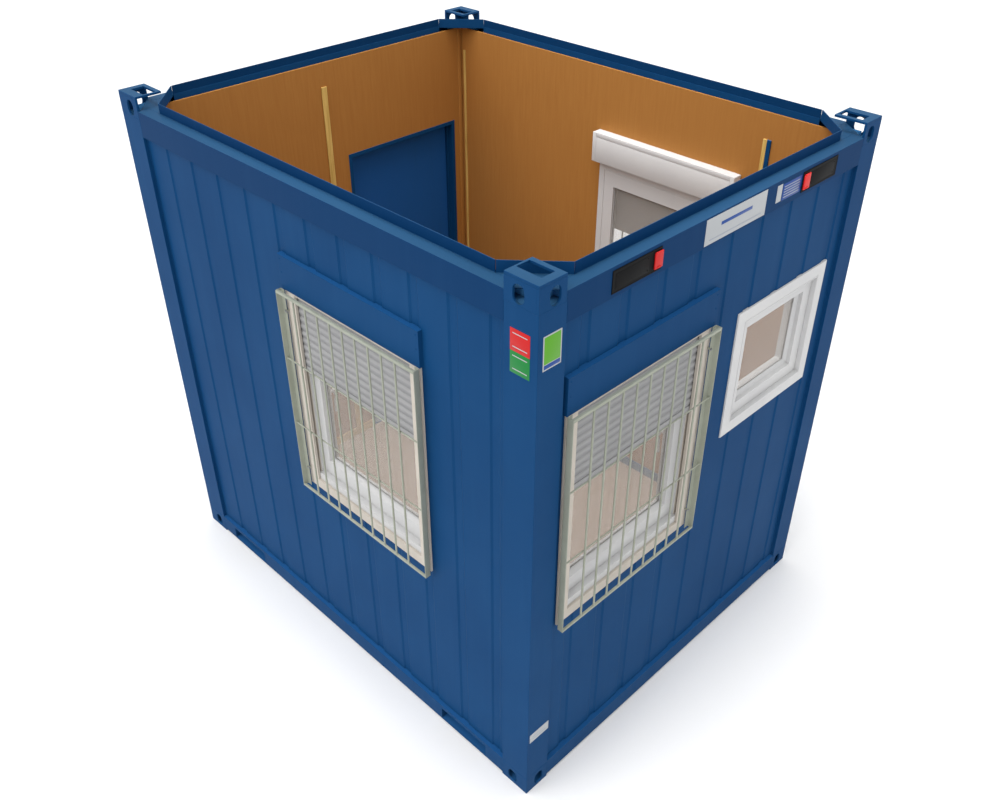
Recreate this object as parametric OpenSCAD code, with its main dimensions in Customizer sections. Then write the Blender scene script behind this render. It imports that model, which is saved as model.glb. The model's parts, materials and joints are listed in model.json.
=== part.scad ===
// Ten-foot site cabin on a container frame: open-topped, with an entrance door,
// three barred shutter windows and one small wash-room window.
// Origin: bottom centre of the frame. +Z up, -Y the end with two windows, +Y the door end.
// Wall pieces are drawn in wall coordinates: X runs to the right as seen from outside,
// Y is the depth in from the frame's outer face, Z is height.

/* [Frame] */
// Overall width over the frame
frame_w = 2435; // [2200:1:3000]
// Overall length over the frame
frame_l = 2989; // [2600:1:6100]
// Overall height over the castings
frame_h = 2960; // [2800:1:3400]
// Corner post width on the end walls
post_end_w = 152; // [110:1:180]
// Corner post width on the side walls
post_side_w = 174; // [120:1:200]
// Steel thickness of posts and rails
steel_t = 4; // [3:1:6]

/* [Corner castings] */
// Height of a casting
casting_h = 118; // [100:1:125]
// Wall of a casting
casting_t = 12; // [8:1:16]
// Top casting length along the end walls
casting_end_w = 148; // [120:1:160]
// Lifting slot along the end walls
slot_end_w = 70; // [50:1:80]
// Lifting slot along the side walls
slot_side_w = 124; // [90:1:130]
// Width of a side hole
side_hole_w = 59; // [40:1:64]
// Height of a side hole
side_hole_h = 81; // [60:1:90]

/* [Base] */
// Underside of the base rails above the ground
rail_z = 15; // [10:1:25]
// Height of a base rail
base_rail_h = 111; // [100:1:160]
// Flange width of a base rail
base_flange = 80; // [60:1:120]
// Width of a fork pocket
pocket_w = 340; // [240:1:380]
// Height of a fork pocket
pocket_h = 75; // [60:1:80]
// Fork pocket's near edge from the frame end
pocket_inset = 302; // [290:1:420]
// Thickness of the floor deck
deck_t = 22; // [16:1:30]
// Floor above the base rails' top
floor_step = 9; // [5:1:30]
// Number of cross members
member_count = 5; // [3:1:7]

/* [Top ring] */
// Depth of the top rail's fascia
fascia_h = 136; // [100:1:160]
// Ring flange below the castings' top
flange_drop = 74; // [60:1:90]
// Width of the flat flange
flange_w = 66; // [50:1:75]
// Height of the upstand over the flange
upstand_h = 51; // [30:1:60]
// Corner cut along the end walls
corner_cut_end = 260; // [200:1:320]
// Corner cut along the side walls
corner_cut_side = 280; // [210:1:340]
// Height of the ceiling strip
ceiling_strip_h = 48; // [30:1:52]

/* [Walls] */
// Depth of the cladding behind the frame face
cladding_d = 22; // [18:1:26]
// Cladding thickness
cladding_t = 2; // [1:0.5:3]
// Groove pitch of the cladding
groove_pitch = 236; // [180:1:300]
// Groove width at the face
groove_w = 62; // [40:1:80]
// Groove depth
groove_d = 6; // [4:1:8]
// Width of a groove's slope
groove_slope = 10; // [4:1:16]
// Depth of the lining's room face
lining_d = 97; // [85:1:130]
// Thickness of the lining board
lining_t = 12; // [8:1:18]
// Lining top below the castings' top
lining_drop = 98; // [90:1:120]

/* [Shutter windows] */
// Window frame width
win_w = 945; // [700:1:1000]
// Window frame height
win_h = 1200; // [900:1:1300]
// Window sill height
win_z = 1110; // [900:1:1150]
// Window centre from the window end, on both side walls
win_side_pos = 1171; // [1000:1:1500]
// Window centre from the left side, on the end wall
win_end_pos = 681; // [670:1:760]
// Width of the shutter box covers
box_w = 1003; // [760:1:1040]
// Height of the shutter box
box_h = 180; // [140:1:200]
// How far the shutter box stands into the room
box_in = 63; // [40:1:100]
// Bottom edge of the lowered shutter
shutter_z = 1852; // [1300:1:2000]
// Shutter guide's face width
guide_w = 72; // [50:1:80]

/* [Window grilles] */
// Number of upright rods
rod_count = 9; // [7:1:11]
// Pitch of the rods
rod_pitch = 92.5; // [70:0.5:95]
// Rod diameter
rod_d = 10; // [8:1:12]
// Depth of the side angles
angle_d = 33; // [25:1:40]
// Gap between grille and shutter guide
grille_gap = 14; // [13:1:30]

/* [Wash-room window] */
// Outer width of the trim
wash_w = 790; // [500:1:800]
// Outer height of the trim
wash_h = 722; // [500:1:760]
// Bottom of the trim
wash_z = 1540; // [1300:1:1600]
// Centre from the left side
wash_pos = 1800; // [1700:1:1830]
// Face width of the trim
wash_trim_w = 70; // [40:1:80]

/* [Entrance door] */
// Width of the doorway in the wall
door_w = 909; // [800:1:1000]
// Top of the doorway above the ground
door_top = 2262; // [2100:1:2400]
// Doorway's near edge from the corner on its right
door_inset = 177; // [175:1:300]
// Thickness of the leaf
leaf_t = 36; // [30:1:45]
// Running gap round the leaf
leaf_gap = 7; // [6:0.5:9]

/* [Inside trims] */
// Skirting height
skirting_h = 65; // [40:1:100]
// Top of the cover strips above the ground
strip_top = 2722; // [2400:1:2760]
// Width of a cover strip at the wall's middle
cover_w = 38; // [24:1:60]
// Width of each half of a two-coloured strip
strip_w = 24; // [16:1:40]

/* [Hidden] */

blue = [0.13, 0.30, 0.48];
steel_grey = [0.55, 0.56, 0.55];
board_brown = [0.59, 0.40, 0.20];
wood_yellow = [0.78, 0.64, 0.36];
cream = [0.80, 0.77, 0.72];
white = [0.86, 0.86, 0.86];
grille_grey = [0.62, 0.64, 0.58];
shutter_grey = [0.60, 0.60, 0.60];
black = [0.12, 0.12, 0.12];

far = 10000;
facets = 24;
// clearance between pieces that stand side by side in one node
joint_gap = 0.5;
// clearance of a curtain in its guides and of a frame in the wall
fit_gap = 1;

// heights
pocket_z = rail_z + 10;
rail_top = rail_z + base_rail_h;
floor_z = rail_top + floor_step;
flange_z = frame_h - flange_drop;
fascia_z = flange_z - fascia_h;
lining_top = frame_h - lining_drop;
strip_rise = 7;
ceiling_strip_t = 3;
core_top = flange_z + strip_rise - ceiling_strip_h;
upstand_top = flange_z + upstand_h;
cladding_top = fascia_z + 40;

// casting holes
slot_shift = 14;
low_hole_z = 54;
top_hole_drop = 70;

// depths
core_d = cladding_d + groove_d + cladding_t;
lining_back = lining_d - lining_t;
upstand_d = flange_w;
guide_face = 12;
guide_back = 40;
curtain_face = 28;
curtain_t = 8;
sill_face = 26;
sash_face = 62;
pane_face = 92;
pane_t = 8;
sash_room = lining_d + 19;
frame_room = lining_d + 20;

// window parts
frame_side = 53.5;
frame_rebate = 41;
frame_sill = 91;
frame_sill_rebate = 41;
frame_head_rebate = 52;
sash_side = 74.5;
sash_sill = 144;
sash_head = 93;
bead_w = 10;
box_z = win_z + win_h;
guide_ring_w = win_w + 37;
guide_sill = 55;
guide_head = 20;
guide_drop = 4;

// grille parts
angle_t = 3;
angle_flange = 28;
top_bar = 15;
bottom_bar = 12;
grille_back = guide_face - grille_gap;
grille_face = grille_back - angle_d;
grille_z = win_z - 10;
grille_h = win_h + 10;
grille_bars = [422, 822];
spacer_d = 10;

// base parts
member_flange = 40;
member_inset = 80;

// wash-room window parts
wash_face = 14;
wash_frame_face = 40;
wash_sleeve = 5;
wash_frame_w = 69;
wash_bead = 30;
wash_bead_face = 62;
wash_pane_face = 72;
wash_pane_t = 6;
wash_open_w = wash_w - 2 * wash_trim_w;
wash_open_h = wash_h - 2 * wash_trim_w;

// door parts
jamb_w = 20;
stop_w = 39;
room_jamb_w = 25;
stop_room_face = 60;
door_face = 2;
stop_face = door_face + leaf_t;
threshold_h = 10;
leaf_w = door_w - 2 * (jamb_w + leaf_gap);
leaf_z = floor_z + threshold_h + leaf_gap;
leaf_h = door_top - jamb_w - leaf_gap - leaf_z;
door_u = door_inset;
leaf_u = door_u + jamb_w + leaf_gap;
hinge_u = leaf_u - leaf_gap / 2;
hinge_d = -6;
hinge_r = 6;
hinge_t = 3;
hinge_plate_w = 40;
pin_r = 3;
pin_fit = 0.1;
knuckle_h = 50;

// trims and panels
trim_t = 8;
side_strip = 540;
end_strip = 1211;
corner_strip = 26;
panel_places = [402, 1745];
panel_w = 303;
panel_h = 100;
panel_t = 3;
panel_z = fascia_z + 20;

// hinge heights
hinge_zs = [leaf_z + 180, leaf_z + leaf_h / 2, leaf_z + leaf_h - 230];
door_proud = 2;
stop_fit = 5;
knuckle_gap = 1;
lever_plate_t = 6;
lever_r = 8;
lever_reach = 37;
lever_z = floor_z + 1050;
lever_u = leaf_u + leaf_w - 60;

// groove centres along each wall, from its left end as seen from outside
side_first = 242;
end_first = 290;
function grooves(first, wall_len, post_w) =
    [for (u = [first : groove_pitch : wall_len - post_w - groove_w / 2 - 2]) u];
end_grooves = grooves(end_first, frame_w, post_end_w);
right_grooves = grooves(side_first, frame_l, post_side_w);
left_grooves = [for (i = [len(right_grooves) - 1 : -1 : 0]) frame_l - right_grooves[i]];

// window centres along each wall, from its left end as seen from outside
right_win = win_side_pos;
left_win = frame_l - win_side_pos;

// ---- placing -------------------------------------------------------------

module at_window_end() { translate([-frame_w / 2, -frame_l / 2, 0]) children(); }
module at_door_end() { translate([frame_w / 2, frame_l / 2, 0]) rotate(180) children(); }
module at_left() { translate([-frame_w / 2, frame_l / 2, 0]) rotate(-90) children(); }
module at_right() { translate([frame_w / 2, -frame_l / 2, 0]) rotate(90) children(); }
module at_windows() {
    at_left() translate([left_win, 0, 0]) children();
    at_right() translate([right_win, 0, 0]) children();
    at_window_end() translate([win_end_pos, 0, 0]) children();
}
module at_corners() {
    for (x = [0, 1], y = [0, 1])
        mirror([x, 0, 0]) mirror([0, y, 0])
            translate([-frame_w / 2, -frame_l / 2, 0]) children();
}
// a block from its low and high corners
module span(a, b) { translate(a) cube(b - a); }
// a centred picture-frame ring standing in the wall plane
module ring(w, z0, h, side, bottom, top, d0, d1) {
    difference() {
        span([-w / 2, d0, z0], [w / 2, d1, z0 + h]);
        span([-w / 2 + side, d0 - 1, z0 + bottom], [w / 2 - side, d1 + 1, z0 + h - top]);
    }
}

// ---- frame ---------------------------------------------------------------

module side_hole(z) {
    r = side_hole_w / 2;
    half = (side_hole_h - side_hole_w) / 2;
    for (s = [-half, half])
        translate([0, 0, z + s]) rotate([90, 0, 0])
            cylinder(r = r, h = 4 * casting_t, center = true, $fn = facets);
    translate([-r, -2 * casting_t, z - half]) cube([2 * r, 4 * casting_t, 2 * half]);
}
// the three plates of a casting, open to the inside: slotted, on the end wall, on the side wall
module casting_plate(end_w, plate_z) {
    difference() {
        translate([0, 0, plate_z]) cube([end_w, post_side_w, casting_t]);
        translate([end_w / 2 + slot_shift, post_side_w / 2 + slot_shift, plate_z + casting_t / 2])
            cube([slot_end_w, slot_side_w, casting_t + 2], center = true);
    }
}
module casting_end(end_w, z0, z1, hole_z) {
    difference() {
        span([0, 0, z0], [end_w, casting_t, z1]);
        translate([end_w / 2 + slot_shift, casting_t / 2, 0]) side_hole(hole_z);
    }
}
module casting_side(z0, z1, hole_z) {
    difference() {
        span([0, casting_t, z0], [casting_t, post_side_w, z1]);
        translate([casting_t / 2, post_side_w / 2 + slot_shift, 0]) rotate(90) side_hole(hole_z);
    }
}
module bottom_castings() {
    color(blue) at_corners() {
        casting_plate(post_end_w, 0);
        casting_end(post_end_w, casting_t, casting_h, low_hole_z);
        casting_side(casting_t, casting_h, low_hole_z);
    }
}
module at_top_castings() { at_corners() translate([0, 0, frame_h - casting_h]) children(); }
module top_castings() {
    color(blue) at_top_castings() casting_plate(casting_end_w, casting_h - casting_t);
}
module top_casting_ends() {
    color(blue) at_top_castings()
        casting_end(casting_end_w, 0, casting_h - casting_t, casting_h - top_hole_drop);
}
module top_casting_sides() {
    color(blue) at_top_castings()
        casting_side(0, casting_h - casting_t, casting_h - top_hole_drop);
}
module corner_posts() {
    z0 = casting_h;
    z1 = frame_h - casting_h;
    color(blue) at_corners() {
        span([0, 0, z0], [post_end_w, steel_t, z1]);
        span([0, 0, z0], [steel_t, post_side_w, z1]);
        span([post_end_w - steel_t, 0, z0], [post_end_w, core_d, z1]);
        span([0, post_side_w - steel_t, z0], [core_d, post_side_w, z1]);
    }
}
// a base rail between two posts
module base_rail(wall_len, post_w) {
    span([post_w, 0, rail_z], [wall_len - post_w, steel_t, rail_top]);
    for (z = [rail_z, rail_top - steel_t])
        span([post_w, 0, z], [wall_len - post_w, base_flange, z + steel_t]);
}
module side_base_rail() {
    difference() {
        base_rail(frame_l, post_side_w);
        for (u = [pocket_inset, frame_l - pocket_inset - pocket_w])
            span([u, -1, pocket_z], [u + pocket_w, steel_t + 1, pocket_z + pocket_h]);
    }
}
module left_base_rail() { color(blue) at_left() side_base_rail(); }
module right_base_rail() { color(blue) at_right() side_base_rail(); }
module end_base_rails() {
    color(blue) {
        at_window_end() base_rail(frame_w, post_end_w);
        at_door_end() base_rail(frame_w, post_end_w);
    }
}
// rectangular sleeves across the base, seated in the rails' webs
module fork_pockets() {
    sleeve_x = frame_w / 2 - steel_t;
    color(blue) for (s = [-1, 1]) {
        y = s * (frame_l / 2 - pocket_inset - pocket_w / 2);
        difference() {
            span([-sleeve_x, y - pocket_w / 2 - steel_t, pocket_z - steel_t],
                 [sleeve_x, y + pocket_w / 2 + steel_t, pocket_z + pocket_h + steel_t]);
            span([-sleeve_x - 1, y - pocket_w / 2, pocket_z],
                 [sleeve_x + 1, y + pocket_w / 2, pocket_z + pocket_h]);
        }
    }
}
// channels between the side rails, clear of the fork pockets
module cross_members() {
    x = frame_w / 2 - steel_t;
    z0 = rail_z + steel_t;
    z1 = floor_z - deck_t;
    first = pocket_inset + pocket_w + member_inset;
    step = (frame_l - 2 * first) / (member_count - 1);
    color(blue) for (i = [0 : member_count - 1])
        translate([0, -frame_l / 2 + first + i * step, 0]) {
            span([-x, 0, z0], [x, steel_t, z1]);
            for (z = [z0, z1 - steel_t]) span([-x, 0, z], [x, member_flange, z + steel_t]);
        }
}
// the tray under the insulation, let in between the rails' bottom flanges
module underfloor_sheet() {
    x = frame_w / 2 - base_flange - joint_gap;
    y = frame_l / 2 - base_flange - joint_gap;
    color(steel_grey) span([-x, -y, rail_z + 1], [x, y, rail_z + steel_t]);
}
module floor_deck() {
    x = frame_w / 2 - lining_back - joint_gap;
    y = frame_l / 2 - lining_back - joint_gap;
    color([0.66, 0.58, 0.50]) span([-x, -y, floor_z - deck_t], [x, y, floor_z]);
}

// ---- top ring ------------------------------------------------------------

module top_rail(wall_len, post_w, casting_w, cut) {
    span([post_w, 0, fascia_z], [wall_len - post_w, steel_t, flange_z]);
    span([casting_w, 0, frame_h - casting_h], [wall_len - casting_w, steel_t, flange_z]);
    span([casting_w, 0, flange_z - steel_t], [wall_len - casting_w, flange_w, flange_z]);
    span([post_w, 0, fascia_z], [wall_len - post_w, cladding_d, fascia_z + steel_t]);
    span([cut + steel_t, flange_w, flange_z - steel_t],
         [wall_len - cut - steel_t, flange_w + steel_t, upstand_top]);
}
module side_top_rails() {
    color(blue) {
        at_left() top_rail(frame_l, post_side_w, post_side_w, corner_cut_side);
        at_right() top_rail(frame_l, post_side_w, post_side_w, corner_cut_side);
    }
}
module end_top_rails() {
    color(blue) {
        at_window_end() top_rail(frame_w, post_end_w, casting_end_w, corner_cut_end);
        at_door_end() top_rail(frame_w, post_end_w, casting_end_w, corner_cut_end);
    }
}
// the flat corner gusset with its slanting upstand
module top_corner_plates() {
    a = [corner_cut_end, flange_w];
    b = [flange_w, corner_cut_side];
    along = (b - a) / norm(b - a);
    inward = [along[1], -along[0]] * steel_t;
    color(blue) at_corners() {
        translate([0, 0, flange_z - steel_t]) linear_extrude(steel_t)
            polygon([[casting_end_w, casting_t], [casting_end_w, flange_w], a, b,
                     [flange_w, post_side_w], [casting_t, post_side_w]]);
        translate([0, 0, flange_z - steel_t]) linear_extrude(upstand_h + steel_t)
            polygon([a, b, b + inward, a + inward]);
    }
}
module ceiling_strip(wall_len, cut) {
    d = flange_w + steel_t;
    u = cut + steel_t;
    span([u, d, core_top], [wall_len - u, d + ceiling_strip_t, flange_z + strip_rise]);
}
module ceiling_strips() {
    color(blue) {
        at_window_end() ceiling_strip(frame_w, corner_cut_end);
        at_door_end() ceiling_strip(frame_w, corner_cut_end);
        at_left() ceiling_strip(frame_l, corner_cut_side);
        at_right() ceiling_strip(frame_l, corner_cut_side);
    }
}

// ---- walls ---------------------------------------------------------------

// profiled sheet from u0 to u1 with grooves at the listed centres
module sheet(u0, u1, centres) {
    half = groove_w / 2;
    inner = half - groove_slope;
    used = [for (c = centres) if (c - half > u0 + 1 && c + half < u1 - 1) c];
    face = concat([[u0, 0]],
        [for (c = used, p = [[-half, 0], [-inner, groove_d], [inner, groove_d], [half, 0]]) [c + p[0], p[1]]],
        [[u1, 0]]);
    n = len(face);
    back = [for (i = [n - 1 : -1 : 0]) [face[i][0], face[i][1] + cladding_t]];
    translate([0, cladding_d, rail_top]) linear_extrude(cladding_top - rail_top)
        polygon(concat(face, back));
}
module window_hole(u) {
    span([u - win_w / 2 - fit_gap, -far, win_z], [u + win_w / 2 + fit_gap, far, box_z + box_h]);
}
module wash_hole() {
    w = wash_open_w + 2 * wash_sleeve;
    z0 = wash_z + wash_trim_w - wash_sleeve;
    span([wash_pos - w / 2, -far, z0], [wash_pos + w / 2, far, z0 + wash_open_h + 2 * wash_sleeve]);
}
module side_cladding(u, centres) {
    difference() {
        sheet(post_side_w, frame_l - post_side_w, centres);
        window_hole(u);
    }
}
module left_cladding() { color(blue) at_left() side_cladding(left_win, left_grooves); }
module right_cladding() { color(blue) at_right() side_cladding(right_win, right_grooves); }
module window_end_cladding() {
    color(blue) at_window_end() difference() {
        sheet(post_end_w, frame_w - post_end_w, end_grooves);
        window_hole(win_end_pos);
        wash_hole();
    }
}
module door_end_sheet() { sheet(post_end_w, frame_w - post_end_w, end_grooves); }
module door_end_cladding() {
    color(blue) at_door_end() difference() {
        door_end_sheet();
        span([door_u, -far, 0], [door_u + door_w, far, far]);
    }
}
module over_door_cladding() {
    color(blue) at_door_end() intersection() {
        door_end_sheet();
        span([door_u, -far, door_top], [door_u + door_w, far, far]);
    }
}
// insulated core and lining board of a wall, between two places along it
module core(u0, u1) { span([u0, core_d, rail_top], [u1, lining_back, core_top]); }
module lining(u0, u1) { span([u0, lining_back, floor_z], [u1, lining_d, lining_top]); }
module wall_cores() {
    color(board_brown) {
        at_left() difference() {
            core(core_d, frame_l - core_d);
            window_hole(left_win);
        }
        at_right() difference() {
            core(core_d, frame_l - core_d);
            window_hole(right_win);
        }
        at_window_end() difference() {
            core(lining_back + joint_gap, frame_w - lining_back - joint_gap);
            window_hole(win_end_pos);
            wash_hole();
        }
        at_door_end() {
            core(lining_back + joint_gap, door_u);
            core(door_u + door_w, frame_w - lining_back - joint_gap);
            span([door_u + joint_gap, core_d, door_top],
                 [door_u + door_w - joint_gap, lining_back, core_top]);
        }
    }
}
module left_lining() {
    color(board_brown) at_left() difference() {
        lining(lining_back, frame_l - lining_back);
        window_hole(left_win);
    }
}
module right_lining() {
    color(board_brown) at_right() difference() {
        lining(lining_back, frame_l - lining_back);
        window_hole(right_win);
    }
}
module window_end_lining() {
    color(board_brown) at_window_end() difference() {
        lining(lining_d, frame_w - lining_d);
        window_hole(win_end_pos);
        wash_hole();
    }
}
module door_end_lining() {
    color(board_brown) at_door_end() difference() {
        lining(lining_d, frame_w - lining_d);
        span([door_u, -far, 0], [door_u + door_w, far, far]);
    }
}
module over_door_lining() {
    color(board_brown) at_door_end()
        span([door_u, lining_back, door_top], [door_u + door_w, lining_d, lining_top]);
}

// ---- shutter windows -----------------------------------------------------

module window_frame() {
    ring(win_w, win_z, win_h, frame_side, frame_sill, frame_side, guide_back, sash_face);
    ring(win_w, win_z, win_h, frame_rebate, frame_sill_rebate, frame_head_rebate, sash_face, frame_room);
    span([-win_w / 2, sill_face, win_z], [win_w / 2, guide_back, win_z + frame_sill]);
}
module window_frames() { color(white) at_windows() window_frame(); }
// the sash, rebated for the pane, with a sloping bead to the outside
module window_sash() {
    w = win_w - 2 * (frame_rebate + fit_gap);
    z0 = win_z + frame_sill_rebate;
    h = win_h - frame_sill_rebate - frame_head_rebate - fit_gap;
    open_w = w - 2 * sash_side;
    open_z = z0 + sash_sill;
    open_h = h - sash_sill - sash_head;
    difference() {
        span([-w / 2, sash_face, z0], [w / 2, sash_room, z0 + h]);
        span([-open_w / 2, 0, open_z], [open_w / 2, far, open_z + open_h]);
        span([-open_w / 2 - bead_w, pane_face, open_z - bead_w],
             [open_w / 2 + bead_w, pane_face + pane_t, open_z + open_h + bead_w]);
        hull() {
            span([-open_w / 2 - bead_w, sash_face - 1, open_z - bead_w],
                 [open_w / 2 + bead_w, sash_face, open_z + open_h + bead_w]);
            span([-open_w / 2, pane_face - 1, open_z], [open_w / 2, pane_face, open_z + open_h]);
        }
    }
}
module window_sashes() { color(white) at_windows() window_sash(); }
module window_pane() {
    w = win_w - 2 * (frame_rebate + fit_gap + sash_side) + 2 * bead_w;
    z0 = win_z + frame_sill_rebate + sash_sill - bead_w;
    z1 = win_z + win_h - frame_head_rebate - fit_gap - sash_head + bead_w;
    span([-w / 2, pane_face, z0], [w / 2, pane_face + pane_t, z1]);
}
module window_panes() { color([0.8, 0.9, 0.95, 0.4]) at_windows() window_pane(); }
// face ring over the cladding and the channels that hold the curtain
module shutter_guide() {
    inner = guide_ring_w / 2 - guide_w;
    z0 = win_z - guide_drop;
    difference() {
        union() {
            span([-guide_ring_w / 2, guide_face, z0], [guide_ring_w / 2, cladding_d, box_z]);
            span([-win_w / 2, guide_face, win_z], [win_w / 2, sill_face, box_z]);
            for (s = [-1, 1])
                span([min(s * inner, s * win_w / 2), guide_face, win_z + frame_sill],
                     [max(s * inner, s * win_w / 2), guide_back, box_z]);
        }
        span([-inner, 0, z0 + guide_sill], [inner, far, box_z - guide_head]);
        span([-inner, sill_face, 0], [inner, far, box_z + 1]);
        span([-inner - 20, curtain_face - fit_gap, win_z + frame_sill - 1],
             [inner + 20, curtain_face + curtain_t + fit_gap, box_z + 1]);
    }
}
module shutter_guides() { color(cream) at_windows() shutter_guide(); }
module shutter_curtain() {
    half = guide_ring_w / 2 - guide_w + 18;
    span([-half, curtain_face, shutter_z], [half, curtain_face + curtain_t, box_z]);
}
module shutter_curtains() { color(shutter_grey) at_windows() shutter_curtain(); }
module shutter_box() {
    span([-win_w / 2, cladding_d, box_z], [win_w / 2, lining_d, box_z + box_h]);
    span([-box_w / 2, lining_d, box_z], [box_w / 2, lining_d + box_in, box_z + box_h]);
}
module shutter_boxes() { color(white) at_windows() shutter_box(); }
module shutter_covers() {
    color(blue) at_windows()
        span([-box_w / 2, 0, box_z], [box_w / 2, cladding_d, box_z + box_h]);
}
// flat grille: two side angles, top and bottom bars, upright and level rods, four spacers
module grille() {
    half = box_w / 2;
    rod_y = grille_face + rod_d / 2;
    for (s = [0, 1]) mirror([s, 0, 0]) {
        span([half - angle_t, grille_face, grille_z], [half, grille_back, grille_z + grille_h]);
        span([half - angle_flange, grille_back - angle_t, grille_z],
             [half, grille_back, grille_z + grille_h]);
        for (z = [grille_z + 120, grille_z + grille_h - 120])
            translate([half - angle_flange + 7, grille_back - 1, z]) rotate([-90, 0, 0])
                cylinder(d = spacer_d, h = grille_gap + 1, $fn = facets);
    }
    span([-half, grille_face, grille_z + grille_h - top_bar], [half, grille_face + top_bar, grille_z + grille_h]);
    span([-half, grille_face, grille_z], [half, grille_face + bottom_bar, grille_z + bottom_bar]);
    for (i = [0 : rod_count - 1])
        translate([(i - (rod_count - 1) / 2) * rod_pitch, rod_y, grille_z + 1])
            cylinder(d = rod_d, h = grille_h - 2, $fn = facets);
    for (z = grille_bars)
        translate([-half + 1, rod_y + rod_d - 2, grille_z + z]) rotate([0, 90, 0])
            cylinder(d = rod_d - 2, h = 2 * half - 2, $fn = facets);
}
module left_grille() { color(grille_grey) at_left() translate([left_win, 0, 0]) grille(); }
module right_grille() { color(grille_grey) at_right() translate([right_win, 0, 0]) grille(); }
module end_grille() { color(grille_grey) at_window_end() translate([win_end_pos, 0, 0]) grille(); }

// ---- wash-room window ----------------------------------------------------

module wash_window_trim() {
    z = wash_z + wash_trim_w;
    w = wash_open_w + 2 * wash_sleeve;
    color(white) at_window_end() translate([wash_pos, 0, 0]) {
        ring(wash_w, wash_z, wash_h, wash_trim_w, wash_trim_w, wash_trim_w, wash_face, cladding_d);
        ring(w, z - wash_sleeve, wash_open_h + 2 * wash_sleeve,
             wash_sleeve, wash_sleeve, wash_sleeve, cladding_d, wash_frame_face);
    }
}
module wash_window_frame() {
    w = wash_open_w + 2 * wash_sleeve;
    h = wash_open_h + 2 * wash_sleeve;
    z0 = wash_z + wash_trim_w - wash_sleeve;
    member = wash_sleeve + wash_frame_w;
    slot = member + wash_bead - bead_w;
    color(white) at_window_end() translate([wash_pos, 0, 0]) difference() {
        span([-w / 2, wash_frame_face, z0], [w / 2, frame_room, z0 + h]);
        span([-w / 2 + member + wash_bead, 0, z0 + member + wash_bead],
             [w / 2 - member - wash_bead, far, z0 + h - member - wash_bead]);
        span([-w / 2 + slot, wash_pane_face, z0 + slot],
             [w / 2 - slot, wash_pane_face + wash_pane_t, z0 + h - slot]);
        hull() {
            span([-w / 2 + member, wash_frame_face - 1, z0 + member],
                 [w / 2 - member, wash_bead_face, z0 + h - member]);
            span([-w / 2 + member + wash_bead, wash_pane_face - 1, z0 + member + wash_bead],
                 [w / 2 - member - wash_bead, wash_pane_face, z0 + h - member - wash_bead]);
        }
    }
}
module wash_window_pane() {
    edge = wash_trim_w + wash_frame_w + wash_bead - bead_w;
    color([0.8, 0.9, 0.95, 0.4]) at_window_end() translate([wash_pos, 0, 0])
        span([-wash_w / 2 + edge, wash_pane_face, wash_z + edge],
             [wash_w / 2 - edge, wash_pane_face + wash_pane_t, wash_z + wash_h - edge]);
}

// ---- entrance door -------------------------------------------------------

module door_frame() {
    u1 = door_u + door_w;
    z1 = floor_z + threshold_h;
    color(blue) at_door_end() {
        difference() {
            union() {
                span([door_u, door_face, rail_top], [u1, lining_back, door_top]);
                span([door_u, lining_back, floor_z], [u1, lining_d + door_proud, door_top]);
            }
            span([door_u + jamb_w, -1, z1], [u1 - jamb_w, stop_face + stop_fit, door_top - jamb_w]);
            span([door_u + stop_w, -1, z1], [u1 - stop_w, far, door_top - stop_w]);
            span([door_u + room_jamb_w, stop_room_face, z1], [u1 - room_jamb_w, far, door_top - room_jamb_w]);
        }
        for (z = hinge_zs) hinge_half(z - knuckle_h / 2 - knuckle_gap, -1);
    }
}
// half a hinge: a knuckle and a plate on the frame (-1) or on the leaf (1)
module hinge_half(z, side) {
    h = knuckle_h / 2;
    difference() {
        union() {
            translate([hinge_u, hinge_d, z]) cylinder(r = hinge_r, h = h, $fn = facets);
            translate([hinge_u + (side < 0 ? -hinge_plate_w : 0), door_face - hinge_t, z])
                cube([hinge_plate_w, hinge_t, h]);
        }
        translate([hinge_u, hinge_d, z - 1]) cylinder(r = pin_r + pin_fit, h = h + 2, $fn = facets);
    }
}
module door_leaf() {
    color(blue) at_door_end() {
        span([leaf_u, door_face, leaf_z], [leaf_u + leaf_w, door_face + leaf_t, leaf_z + leaf_h]);
        for (z = hinge_zs) hinge_half(z, 1);
    }
}
module door_hinge_pins() {
    color(steel_grey) at_door_end() for (z = hinge_zs)
        translate([hinge_u, hinge_d, z - knuckle_h / 2 - 3])
            cylinder(r = pin_r, h = knuckle_h + 5, $fn = facets);
}
// lever and long plate, one set on each face of the leaf
module lever_set() {
    span([-18, -lever_plate_t, -110], [18, 0, 110]);
    translate([0, 0, 30]) rotate([90, 0, 0]) cylinder(d = lever_r * 2, h = lever_reach, $fn = facets);
    translate([0, -lever_reach + lever_r, 30]) rotate([0, -90, 0])
        cylinder(r = lever_r, h = 115, $fn = facets);
}
module door_levers() {
    color(steel_grey) at_door_end() translate([lever_u, 0, lever_z]) {
        translate([0, door_face, 0]) lever_set();
        translate([0, door_face + leaf_t, 0]) mirror([0, 1, 0]) lever_set();
    }
}

// ---- trims ---------------------------------------------------------------

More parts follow.
